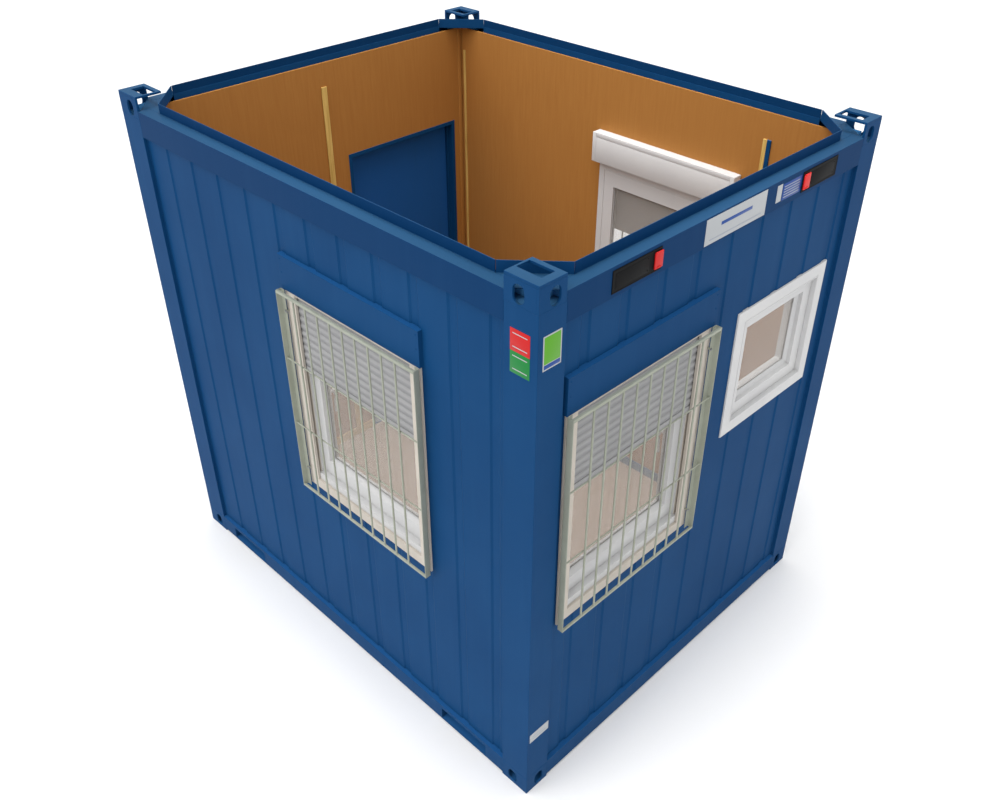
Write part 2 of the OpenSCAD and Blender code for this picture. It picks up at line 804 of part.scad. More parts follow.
module skirting(u0, u1) {
    span([u0, lining_d, floor_z], [u1, lining_d + trim_t, floor_z + skirting_h]);
}
module cover_strip(u0, u1) {
    span([u0, lining_d, floor_z + skirting_h + joint_gap], [u1, lining_d + trim_t, strip_top]);
}
module wood_trims() {
    room_u = lining_d + trim_t + joint_gap;
    far_u = frame_w - room_u;
    color(wood_yellow) {
        at_door_end() {
            skirting(door_u + door_w, far_u);
            skirting(room_u, door_u);
            cover_strip(frame_w - end_strip - cover_w / 2, frame_w - end_strip + cover_w / 2);
        }
        at_window_end() {
            skirting(room_u, far_u);
            cover_strip(end_strip - cover_w / 2, end_strip + cover_w / 2);
        }
        at_right() {
            cover_strip(side_strip + joint_gap, side_strip + strip_w);
            cover_strip(frame_l - lining_d - corner_strip - 16, frame_l - lining_d - corner_strip);
        }
        at_left() cover_strip(frame_l - side_strip - strip_w, frame_l - side_strip - joint_gap);
    }
}
module blue_trims() {
    color(blue) {
        at_right() {
            skirting(lining_d, frame_l - lining_d);
            cover_strip(side_strip - strip_w, side_strip);
        }
        at_left() {
            skirting(lining_d, frame_l - lining_d);
            cover_strip(frame_l - side_strip, frame_l - side_strip + strip_w);
        }
    }
}
module socket_panels() {
    color(black) at_window_end() for (u = panel_places)
        span([u, -panel_t, panel_z], [u + panel_w, 0, panel_z + panel_h]);
}

bottom_castings();
top_castings();
top_casting_ends();
top_casting_sides();
corner_posts();
left_base_rail();
right_base_rail();
end_base_rails();
fork_pockets();
cross_members();
underfloor_sheet();
floor_deck();
side_top_rails();
end_top_rails();
top_corner_plates();
ceiling_strips();
left_cladding();
right_cladding();
window_end_cladding();
door_end_cladding();
over_door_cladding();
wall_cores();
left_lining();
right_lining();
window_end_lining();
door_end_lining();
over_door_lining();
window_frames();
window_sashes();
window_panes();
shutter_guides();
shutter_curtains();
shutter_boxes();
shutter_covers();
left_grille();
right_grille();
end_grille();
wash_window_trim();
wash_window_frame();
wash_window_pane();
door_frame();
door_leaf();
door_levers();
door_hinge_pins();
wood_trims();
blue_trims();
socket_panels();
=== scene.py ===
import json
import math
import random

import bmesh
import bpy
from mathutils import Matrix, Vector

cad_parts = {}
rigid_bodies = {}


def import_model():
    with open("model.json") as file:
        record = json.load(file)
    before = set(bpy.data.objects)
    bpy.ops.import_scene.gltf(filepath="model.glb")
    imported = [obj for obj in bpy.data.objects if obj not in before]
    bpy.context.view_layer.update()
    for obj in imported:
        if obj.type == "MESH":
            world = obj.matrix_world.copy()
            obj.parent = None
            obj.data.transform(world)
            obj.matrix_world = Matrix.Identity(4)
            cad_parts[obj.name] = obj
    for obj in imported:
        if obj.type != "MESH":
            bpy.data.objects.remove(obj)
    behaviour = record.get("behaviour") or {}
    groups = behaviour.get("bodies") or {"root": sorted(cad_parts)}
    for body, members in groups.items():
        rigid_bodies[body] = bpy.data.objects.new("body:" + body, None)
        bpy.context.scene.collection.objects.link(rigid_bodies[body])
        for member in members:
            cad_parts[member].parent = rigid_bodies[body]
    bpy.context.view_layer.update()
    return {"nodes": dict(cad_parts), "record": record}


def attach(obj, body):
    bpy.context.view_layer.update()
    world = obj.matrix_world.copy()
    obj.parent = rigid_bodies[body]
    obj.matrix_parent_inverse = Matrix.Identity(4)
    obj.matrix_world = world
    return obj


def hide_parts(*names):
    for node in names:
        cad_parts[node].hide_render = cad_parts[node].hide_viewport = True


for leftOver in list(bpy.data.objects):
    bpy.data.objects.remove(leftOver)

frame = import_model()
nodes = frame["nodes"]
print("frame loaded with", len(nodes), "nodes")

# the frame's outer faces, in metres
halfWidth = 1.2175
halfLength = 1.4945

# each wall in its own coordinates: u to the right seen from outside, d inwards, z up
walls = {
    "windowEnd": Matrix.Translation((-halfWidth, -halfLength, 0)),
    "doorEnd": Matrix.Translation((halfWidth, halfLength, 0)) @ Matrix.Rotation(math.pi, 4, "Z"),
    "left": Matrix.Translation((-halfWidth, halfLength, 0)) @ Matrix.Rotation(-math.pi / 2, 4, "Z"),
    "right": Matrix.Translation((halfWidth, -halfLength, 0)) @ Matrix.Rotation(math.pi / 2, 4, "Z"),
}
wallWidths = {wall: 2 * (halfWidth if wall.endswith("End") else halfLength) for wall in walls}
windowCentres = {"left": 2 * halfLength - 1.171, "right": 1.171, "windowEnd": 0.681}
windows = {wall: walls[wall] @ Matrix.Translation((u, 0, 0)) for wall, u in windowCentres.items()}


def pick(style, *names):
    return (style[name] for name in names)


# shader helpers

def tint(red, green, blue):
    steps = [value / 255 for value in (red, green, blue)]
    linear = [s / 12.92 if s <= 0.04045 else ((s + 0.055) / 1.055) ** 2.4 for s in steps]
    return (*linear, 1.0)


class Wire:
    # one socket, so that shader maths reads as plain expressions
    def __init__(self, finish, socket):
        self.finish = finish
        self.socket = socket

    def maths(self, operation, first, second, clamp=False):
        return self.finish.node("ShaderNodeMath", {0: first, 1: second}, operation=operation, use_clamp=clamp)

    def __add__(self, other):
        return self.maths("ADD", self, other)

    __radd__ = __add__

    def __sub__(self, other):
        return self.maths("SUBTRACT", self, other)

    def __rsub__(self, other):
        return self.maths("SUBTRACT", other, self)

    def __mul__(self, other):
        return self.maths("MULTIPLY", self, other)

    __rmul__ = __mul__

    def __pow__(self, other):
        return self.maths("POWER", self, other)

    def clamped(self):
        return self.maths("ADD", self, 0.0, clamp=True)

    def between(self, low, high):
        # 0 below low and 1 above high
        return ((self - low) * (1 / (high - low))).clamped()


class Finish:
    # one material around its Principled shader; constants go straight on its sockets
    def __init__(self, name, **constants):
        self.material = bpy.data.materials.new(name)
        self.material.use_nodes = True
        self.tree = self.material.node_tree
        self.shader = self.tree.nodes["Principled BSDF"]
        for key, value in constants.items():
            self.shader.inputs[key.replace("_", " ")].default_value = value

    def node(self, kind, inputs=None, output=0, **settings):
        made = self.tree.nodes.new(kind)
        for key, value in settings.items():
            setattr(made, key, value)
        for key, value in (inputs or {}).items():
            self.feed(made.inputs[key], value)
        return Wire(self, made.outputs[output])

    def feed(self, socket, value):
        if isinstance(value, Wire):
            self.tree.links.new(value.socket, socket)
        else:
            socket.default_value = value

    def drive(self, **values):
        for key, value in values.items():
            self.feed(self.shader.inputs[key.replace("_", " ")], value)

    def place(self):
        return self.node("ShaderNodeTexCoord", output="Object")

    def height(self):
        return self.node("ShaderNodeSeparateXYZ", {0: self.place()}, "Z")

    def facing(self):
        # how far a face looks up
        return self.node("ShaderNodeSeparateXYZ", {0: self.node("ShaderNodeNewGeometry", output="Normal")}, "Z")

    def grain(self, size, stretch=(1, 1, 1), detail=3.0, roughness=0.55, distortion=0.0):
        spread = self.node("ShaderNodeMapping", {"Vector": self.place(), "Scale": stretch})
        values = {"Vector": spread, "Scale": 1 / size, "Detail": detail, "Roughness": roughness,
                  "Distortion": distortion}
        return self.node("ShaderNodeTexNoise", values, "Fac")

    def cells(self, size, output="Distance"):
        return self.node("ShaderNodeTexVoronoi", {"Vector": self.place(), "Scale": 1 / size}, output)

    def mix(self, factor, first, second):
        # each colour is a wire or three values out of 255
        first, second = (shade if isinstance(shade, Wire) else tint(*shade) for shade in (first, second))
        return self.node("ShaderNodeMix", {0: factor, 6: first, 7: second}, 2, data_type="RGBA")

    def bump(self, height, depth):
        self.drive(Normal=self.node("ShaderNodeBump", {"Height": height, "Distance": depth}, "Normal"))


# finishes

paintStyle = {
    # the colours for level faces round the top and on lower ledges are painted highlights
    "base": (13, 63, 108), "deep": (9, 54, 97), "pale": (20, 74, 121), "paintedTopSheen": (39, 75, 105),
    "pocket": (72, 138, 194), "inside": (30, 84, 150), "ledge": (34, 92, 150), "rail": (5, 51, 93),
    "roofLine": 2.82,
    "dust": (120, 126, 126), "chip": (70, 88, 104), "roughness": 0.5, "gloss": 0.05, "orangePeel": 0.0035,
    "peelDepth": 0.00006, "dustTop": 0.4,
}


def paintFinish(name, style, colours=("base", "deep", "pale"), inside=False):
    base, deep, pale = pick(style, *colours)
    paint = Finish(name, Specular_IOR_Level=style["gloss"])
    if inside:
        # painted light: the room side of the leaf gets a lighter blue standing in for light the room doesn't give
        # it; the object's own normal turns with the door
        skin = paint.node("ShaderNodeTexCoord", output="Normal")
        inner = 1 - paint.node("ShaderNodeSeparateXYZ", {0: skin}, "Y").between(-0.6, -0.4)
        base, deep = (paint.mix(inner, shade, style["inside"]) for shade in (base, deep))
    cloud = paint.grain(0.55, detail=4)
    streak = paint.grain(0.05, stretch=(1, 1, 0.07), detail=5, roughness=0.6)
    speck = paint.grain(0.012, detail=5, roughness=0.7)
    colour = paint.mix(cloud.between(0.35, 0.7) * 0.5, base, deep)
    colour = paint.mix(streak.between(0.5, 0.78) * 0.16, colour, pale)
    # painted highlight: level faces get a paler colour standing in for top light, a greyer sheen above the roof
    # line and a brighter blue on lower ledges
    level = paint.facing().between(0.7, 0.98)
    high = paint.height().between(style["roofLine"], style["roofLine"] + 0.02)
    paintedTopLight = paint.mix(high, style["ledge"], style["paintedTopSheen"])
    colour = paint.mix(level * (0.6 + cloud * 0.3), colour, paintedTopLight)
    low = (1 - paint.height() * (1 / style["dustTop"])).clamped() ** 1.6
    dirt = (low * 0.06 + 0.008) * (streak * 0.6 + speck * 0.4).between(0.36, 0.72)
    colour = paint.mix(dirt, colour, style["dust"])
    chips = paint.grain(0.02, detail=6, roughness=0.75).between(0.73, 0.76)
    colour = paint.mix(chips * 0.5, colour, style["chip"])
    paint.drive(Base_Color=colour, Roughness=style["roughness"] + cloud * 0.1 + dirt * 0.7)
    paint.bump(paint.grain(style["orangePeel"], detail=2) - chips * 0.5, style["peelDepth"])
    return paint


plasticStyles = {
    "whitePlastic": {"base": (200, 200, 200), "shade": (195, 195, 196), "dirt": (180, 178, 172), "roughness": 0.4},
    "creamPlastic": {"base": (198, 190, 180), "shade": (191, 183, 172), "dirt": (168, 160, 148), "roughness": 0.5},
    "slatPlastic": {"base": (160, 160, 161), "shade": (154, 154, 155), "dirt": (132, 132, 130), "roughness": 0.5,
                    "under": (136, 136, 138)},
    "gasket": {"base": (196, 197, 198), "shade": (188, 189, 190), "dirt": (160, 160, 157), "roughness": 0.6},
    "rubberSeal": {"base": (38, 40, 42), "shade": (30, 31, 33), "dirt": (70, 70, 68), "roughness": 0.62},
    "sealant": {"base": (92, 112, 136), "shade": (78, 100, 126), "dirt": (70, 84, 100), "roughness": 0.6},
    "blackPlastic": {"base": (21, 21, 22), "shade": (18, 18, 19), "dirt": (40, 40, 38), "roughness": 0.5,
                     "gloss": 0.06},
    "redPlastic": {"base": (214, 34, 32), "shade": (190, 24, 24), "dirt": (150, 60, 52), "roughness": 0.4},
}


def plasticFinish(name, style):
    plastic = Finish(name, Specular_IOR_Level=style.get("gloss", 0.24))
    cloud = plastic.grain(0.3, detail=3)
    speck = plastic.grain(0.006, detail=5, roughness=0.7)
    drip = plastic.grain(0.03, stretch=(1, 1, 0.12), detail=4)
    colour = plastic.mix(cloud.between(0.35, 0.7), style["base"], style["shade"])
    if "under" in style:
        # painted shade: faces that lean downwards get a darker grey
        colour = plastic.mix(1 - plastic.facing().between(-0.42, 0.12), colour, style["under"])
    dirt = drip.between(0.52, 0.85) * speck.between(0.3, 0.8) * 0.18
    colour = plastic.mix(dirt, colour, style["dirt"])
    plastic.drive(Base_Color=colour, Roughness=style["roughness"] + cloud * 0.08 + dirt * 0.4)
    plastic.bump(plastic.grain(0.0016, detail=2), 0.00003)
    return plastic


boardStyle = {
    "base": (163, 111, 54), "dark": (159, 107, 51), "light": (167, 115, 57), "pore": (132, 86, 38),
    "roughness": 0.55,
}


def boardFinish(name, style):
    # foil-faced board with an upright grain
    board = Finish(name, Specular_IOR_Level=0.16)
    cloud = board.grain(0.6, detail=4)
    fibre = board.grain(0.012, stretch=(1, 1, 0.05), detail=6, roughness=0.65, distortion=0.4)
    pore = board.grain(0.004, stretch=(1, 1, 0.06), detail=3)
    colour = board.mix(fibre.between(0.36, 0.66), style["dark"], style["light"])
    colour = board.mix(cloud.between(0.3, 0.72) * 0.8, colour, style["base"])
    pores = pore.between(0.64, 0.7)
    colour = board.mix(pores * 0.1, colour, style["pore"])
    board.drive(Base_Color=colour, Roughness=style["roughness"] + fibre * 0.14)
    board.bump(fibre * 0.5 - pores, 0.00006)
    return board


woodStyle = {"base": (212, 179, 104), "dark": (184, 148, 76), "knot": (120, 84, 40), "roughness": 0.52}


def woodFinish(name, style):
    # planed pale wood, grain along the strip whichever way it lies
    wood = Finish(name, Specular_IOR_Level=0.3)
    rings = wood.grain(0.011, stretch=(1, 1, 0.05), detail=5, distortion=0.6)
    along = wood.grain(0.011, stretch=(0.05, 1, 1), detail=5, distortion=0.6)
    upright = wood.height().between(0.199, 0.2005)
    figure = rings * upright + along * (1 - upright)
    colour = wood.mix(figure.between(0.38, 0.68), style["base"], style["dark"])
    knots = wood.grain(0.09, stretch=(1, 1, 0.4), detail=2).between(0.72, 0.8)
    colour = wood.mix(knots * 0.6, colour, style["knot"])
    wood.drive(Base_Color=colour, Roughness=style["roughness"] + figure * 0.15)
    wood.bump(figure, 0.0002)
    return wood


steelStyle = {"base": (168, 170, 172), "shade": (132, 134, 138), "roughness": 0.3}


def steelFinish(name, style):
    # brushed metal with faint wear
    steel = Finish(name)
    brush = steel.grain(0.0018, stretch=(1, 1, 0.08), detail=4)
    cloud = steel.grain(0.06, detail=4)
    colour = steel.mix(cloud.between(0.35, 0.7), style["base"], style["shade"])
    steel.drive(Base_Color=colour, Metallic=0.9 - cloud * 0.15, Roughness=style["roughness"] + brush * 0.2)
    steel.bump(brush, 0.00004)
    return steel


zincStyle = {"base": (150, 154, 158), "spangle": (118, 124, 130), "rust": (120, 84, 60), "size": 0.02}


def zincFinish(name, style):
    # galvanised sheet: crystals of slightly different greys
    zinc = Finish(name)
    crystal = zinc.cells(style["size"], output="Color")
    facet = zinc.node("ShaderNodeSeparateColor", {0: crystal})
    colour = zinc.mix(facet, style["base"], style["spangle"])
    stain = zinc.grain(0.12, detail=6).between(0.62, 0.74)
    colour = zinc.mix(stain * 0.3, colour, style["rust"])
    zinc.drive(Base_Color=colour, Metallic=0.7 - stain * 0.5, Roughness=0.42 + facet * 0.14 + stain * 0.2)
    zinc.bump(facet, 0.00003)
    return zinc


grilleStyle = {"base": (156, 160, 147), "shade": (148, 152, 139), "rust": (136, 110, 80), "roughness": 0.5}


def grilleFinish(name, style):
    # powder coat, with a little rust bleeding at the welds
    coat = Finish(name, Specular_IOR_Level=0.2)
    cloud = coat.grain(0.1, detail=4)
    colour = coat.mix(cloud.between(0.35, 0.68), style["base"], style["shade"])
    stain = coat.grain(0.018, stretch=(1, 1, 0.5), detail=6, roughness=0.7).between(0.7, 0.78)
    colour = coat.mix(stain * 0.35, colour, style["rust"])
    coat.drive(Base_Color=colour, Roughness=style["roughness"] + cloud * 0.12)
    coat.bump(coat.grain(0.0022, detail=3), 0.00006)
    return coat


floorStyle = {"base": (156, 134, 116), "fleck": (160, 139, 121), "dark": (148, 126, 108), "roughness": 0.6}


def floorFinish(name, style):
    # sheet covering with flecks and trodden dull patches
    sheet = Finish(name, Specular_IOR_Level=0.15)
    fleck = sheet.cells(0.006).between(0.2, 0.32)
    worn = sheet.grain(0.4, detail=5)
    colour = sheet.mix(fleck, style["fleck"], style["base"])
    specks = sheet.grain(0.004, detail=2).between(0.62, 0.68)
    colour = sheet.mix(specks * 0.7, colour, style["dark"])
    colour = sheet.mix(worn.between(0.45, 0.75) * 0.25, colour, style["dark"])
    sheet.drive(Base_Color=colour, Roughness=style["roughness"] + worn * 0.2)
    sheet.bump(fleck, 0.00005)
    return sheet


glassStyle = {"base": (181, 178, 173), "film": (185, 181, 176), "alpha": 0.33, "roughness": 0.05}


def glassFinish(name, style):
    # pane with a thin film of dust that wipes have left in arcs
    glass = Finish(name, IOR=1.46, Specular_IOR_Level=0.3)
    film = glass.grain(0.3, detail=2, distortion=0.4)
    spots = glass.grain(0.008, detail=3).between(0.66, 0.72)
    colour = glass.mix(film.between(0.35, 0.7), style["base"], style["film"])
    glass.drive(Base_Color=colour, Alpha=(style["alpha"] + film * 0.02 + spots * 0.01).clamped(),
                Roughness=style["roughness"] + film * 0.05 + spots * 0.1)
    return glass


coreStyle = {"base": (36, 40, 46), "wool": (70, 68, 52)}


def coreFinish(name, style):
    # mineral wool behind its dark vapour sheet
    core = Finish(name, Roughness=0.85)
    wool = core.grain(0.008, detail=6, roughness=0.75)
    core.drive(Base_Color=core.mix(wool.between(0.4, 0.7), style["base"], style["wool"]))
    core.bump(wool, 0.001)
    return core


labelStyles = {
    "labelWhite": (170, 173, 176), "labelGreen": (86, 156, 34), "labelDeepgreen": (18, 120, 52),
    "labelBlue": (25, 66, 138), "labelRed": (188, 24, 24), "labelGrey": (150, 156, 166),
}


def labelFinish(name, colour):
    # printed vinyl, a little faded and scuffed
    vinyl = Finish(name, Specular_IOR_Level=0.2)
    fade = vinyl.grain(0.05, detail=5)
    scuff = vinyl.grain(0.004, detail=5, roughness=0.7).between(0.62, 0.74)
    washed = tuple(round(value * 0.93 + 9) for value in colour)
    mixed = vinyl.mix(fade.between(0.35, 0.75) * 0.5, colour, washed)
    mixed = vinyl.mix(scuff * 0.15, mixed, (150, 150, 146))
    vinyl.drive(Base_Color=mixed, Roughness=0.3 + scuff * 0.3 + fade * 0.08)
    vinyl.bump(fade + scuff * 0.3, 0.00005)
    return vinyl


finishes = {
    "bluePaint": paintFinish("bluePaint", paintStyle),
    "liningBoard": boardFinish("liningBoard", boardStyle),
    "paleWood": woodFinish("paleWood", woodStyle),
    # painted light: a pale blue standing in for light inside the castings
    "pocketPaint": paintFinish("pocketPaint", paintStyle, ("pocket", "pocket", "pale")),
    # painted shade: a darker blue standing in for shade on the top rails
    "railPaint": paintFinish("railPaint", paintStyle, ("rail", "rail", "base")),
    # painted light: a lighter blue on the door's room side
    "doorPaint": paintFinish("doorPaint", paintStyle, inside=True),
    "grillePaint": grilleFinish("grillePaint", grilleStyle),
    "bareSteel": steelFinish("bareSteel", steelStyle),
    "zincSheet": zincFinish("zincSheet", zincStyle),
    "floorCovering": floorFinish("floorCovering", floorStyle),
    "clearGlass": glassFinish("clearGlass", glassStyle),
    "wallCore": coreFinish("wallCore", coreStyle),
}
for finishName, finishStyle in plasticStyles.items():
    finishes[finishName] = plasticFinish(finishName, finishStyle)
for finishName, finishColour in labelStyles.items():
    finishes[finishName] = labelFinish(finishName, finishColour)
print("finishes made:", len(finishes))

slotFinishes = {
    "blue_paint": "bluePaint", "lining_board": "liningBoard", "pale_wood": "paleWood",
    "white_plastic": "whitePlastic", "clear_glass": "clearGlass", "cream_plastic": "creamPlastic",
    "grey_plastic": "slatPlastic", "beige_paint": "grillePaint", "black_plastic": "blackPlastic",
    "bare_steel": "bareSteel", "zinc_sheet": "zincSheet", "floor_covering": "floorCovering",
}
ownFinishes = {
    "wall_cores": "wallCore", "side_top_rails": "railPaint", "end_top_rails": "railPaint", "door_leaf": "doorPaint",
}
softEdges = {
    "bluePaint": 0.0016, "railPaint": 0.0016, "doorPaint": 0.0016, "paleWood": 0.0016, "whitePlastic": 0.002,
    "creamPlastic": 0.0015, "blackPlastic": 0.001,
}
for part in frame["record"]["subparts"]:
    node = nodes[part["node"]]
    finishName = ownFinishes.get(node.name, slotFinishes[part["material_slot"]])
    node.data.materials.clear()
    node.data.materials.append(finishes[finishName].material)
    if finishName in softEdges:
        weld = node.modifiers.new("weld", "WELD")
        weld.merge_threshold = 0.00002
        bevel = node.modifiers.new("softEdge", "BEVEL")
        bevel.width = softEdges[finishName]
        bevel.segments = 2
        bevel.limit_method = "ANGLE"
        bevel.angle_limit = math.radians(35)
        bevel.harden_normals = True
print("frame nodes dressed")


# mesh helpers

class Shape:
    # gathers the solids of one piece, in wall coordinates
    def __init__(self):
        self.mesh = bmesh.new()

    def block(self, low, high, edge, segments=2):
        size = Vector(high) - Vector(low)
        middle = (Vector(high) + Vector(low)) / 2
        spread = Matrix.Translation(middle) @ Matrix.Diagonal((*size, 1))
        made = bmesh.ops.create_cube(self.mesh, size=1, matrix=spread)["verts"]
        edges = list({line for vert in made for line in vert.link_edges})
        width = min(edge, min(size) * 0.4)
        bmesh.ops.bevel(self.mesh, geom=edges, offset=width, segments=segments, profile=0.5, affect="EDGES")

    def sweep(self, profile, start, end, axis=0):
        # a closed outline drawn along u (outline in d, z) or along z (outline in u, d)
        def at(place, a, b):
            return (place, a, b) if axis == 0 else (a, b, place)
        rings = [[self.mesh.verts.new(at(place, a, b)) for a, b in profile] for place in (start, end)]
        count = len(profile)
        for i in range(count):
            j = (i + 1) % count
            self.mesh.faces.new((rings[0][i], rings[0][j], rings[1][j], rings[1][i]))
        self.mesh.faces.new(rings[0][::-1])
        self.mesh.faces.new(rings[1])

    def circle(self, centre, axis, radius, height, sides):
        # corners round an axis, or the one point on it
        turn = Matrix.Translation(centre) @ Vector(axis).to_track_quat("Z", "Y").to_matrix().to_4x4()
        if radius < 1e-6:
            return [self.mesh.verts.new(turn @ Vector((0, 0, height)))]
        angles = [2 * math.pi * i / sides for i in range(sides)]
        return [self.mesh.verts.new(turn @ Vector((radius * math.cos(a), radius * math.sin(a), height)))
                for a in angles]

    def skinned(self, rings, sides):
        for one, two in zip(rings, rings[1:]):
            for i in range(sides):
                j = (i + 1) % sides
                corners = [one[i % len(one)], one[j % len(one)], two[j % len(two)], two[i % len(two)]]
                self.mesh.faces.new(list(dict.fromkeys(corners)))

    def turned(self, centre, axis, profile, sides):
        # an outline of (radius, height) turned about an axis
        rings = [self.circle(centre, axis, radius, height, sides) for radius, height in profile]
        self.skinned(rings, sides)

    def tube(self, points, radius, sides):
        points = [Vector(point) for point in points]
        last = len(points) - 1
        rings = [self.circle(point, points[min(i + 1, last)] - points[max(i - 1, 0)], radius, 0, sides)
                 for i, point in enumerate(points)]
        self.mesh.faces.new(rings[0][::-1])
        self.mesh.faces.new(rings[-1])
        self.skinned(rings, sides)

    def blob(self, centre, radii, dice):
        # a small uneven lump, such as a weld
        made = bmesh.ops.create_icosphere(self.mesh, subdivisions=2, radius=1)["verts"]
        for vert in made:
            swell = 1 + dice.uniform(-0.12, 0.12)
            vert.co = Vector(centre) + Vector(vert.co[k] * radii[k] * swell for k in range(3))

    def ring(self, low, high, side, depth, edge):
        # four bars round an opening, in the wall plane; low and high are (u, z)
        near, far = depth
        self.block((low[0], near, low[1]), (high[0], far, low[1] + side), edge)
        self.block((low[0], near, high[1] - side), (high[0], far, high[1]), edge)
        self.block((low[0], near, low[1] + side), (low[0] + side, far, high[1] - side), edge)
        self.block((high[0] - side, near, low[1] + side), (high[0], far, high[1] - side), edge)

    def piece(self, name, place, finishName, body="cabin", smoothUnder=32):
        bmesh.ops.recalc_face_normals(self.mesh, faces=self.mesh.faces)
        self.mesh.transform(place)
        data = bpy.data.meshes.new(name)
        self.mesh.to_mesh(data)
        self.mesh.free()
        data.materials.append(finishes[finishName].material)
        data.shade_smooth()
        data.set_sharp_from_angle(angle=math.radians(smoothUnder))
        made = bpy.data.objects.new(name, data)
        bpy.context.scene.collection.objects.link(made)
        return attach(made, body)


def screw(shape, centre, axis, radius, height):
    # domed head with a drive recess
    outline = [(0, 0), (radius, 0), (radius, height * 0.35), (radius * 0.82, height * 0.8), (radius * 0.5, height),
               (radius * 0.42, height), (radius * 0.34, height * 0.4), (0, height * 0.4)]
    shape.turned(centre, axis, outline, 16)


# roller shutters

shutterStyle = {
    "halfWidth": 0.437, "top": 2.309, "bottom": 1.852, "face": 0.028, "back": 0.0358, "pitch": 0.0412,
    "bulge": 0.0068, "hook": 0.0035, "barHeight": 0.036, "crown": 1.4,
}


def slatCurtain(wall, style):
    # curved slats hooked into each other, over a bottom bar
    curtain = Shape()
    half, face, back, pitch, bulge = pick(style, "halfWidth", "face", "back", "pitch", "bulge")
    start = style["bottom"] + style["barHeight"]
    count = int((style["top"] - start) / pitch)
    for i in range(count):
        low = start + i * pitch
        outline = [(face + bulge, low)]
        for k in range(11):
            share = k / 10
            height = low + style["hook"] * 0.6 + share * (pitch - style["hook"])
            rise = math.sin(math.pi * (0.08 + 0.84 * share ** style["crown"])) ** 0.9
            outline.append((face + bulge * (1 - rise), height))
        outline += [(face + bulge + 0.0008, low + pitch - 0.0004), (back, low + pitch - 0.0004), (back, low)]
        curtain.sweep(outline, -half, half)
        # the hook that the next slat hangs on
        curtain.sweep([(face + 0.0052, low + pitch - 0.001), (back - 0.0006, low + pitch - 0.001),
                       (back - 0.0006, low + pitch + 0.0008), (face + 0.0052, low + pitch + 0.0008)],
                      -half + 0.0006, half - 0.0006)
    low = style["bottom"]
    curtain.sweep([(face + 0.0012, low + 0.004), (face, low + 0.006), (face, low + 0.013),
                   (face + 0.0016, low + 0.0145), (face + 0.0016, low + 0.018), (face + 0.0002, low + 0.0195),
                   (face + 0.0002, low + 0.030), (face + 0.0022, low + 0.0345), (back, low + 0.0355),
                   (back, low + 0.004)], -half, half)
    body = curtain.piece(wall + "ShutterSlats", windows[wall], "slatPlastic", smoothUnder=40)
    strip = Shape()
    strip.sweep([(face + 0.0014, low), (face + 0.0006, low + 0.002), (face + 0.0014, low + 0.0042),
                 (back - 0.0012, low + 0.0042), (back - 0.0006, low + 0.002), (back - 0.0012, low)],
                -half + 0.02, half - 0.02)
    strip.piece(wall + "ShutterBottomStrip", windows[wall], "creamPlastic")
    return body


curtains = {wall: slatCurtain(wall, shutterStyle) for wall in windows}
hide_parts("shutter_curtains")
print("shutters hung")

# grilles in front of the windows

grilleShape = {
    "half": 0.5015, "face": -0.035, "back": -0.002, "bottom": 1.100, "top": 2.310, "wallThickness": 0.003,
    "flange": 0.028, "topBar": 0.015, "bottomBar": 0.012, "rods": 9, "pitch": 0.0925, "rodRadius": 0.005,
    "levels": (0.422, 0.822), "levelRadius": 0.004, "spacers": (0.120, 1.090), "weldSeed": 11,
}


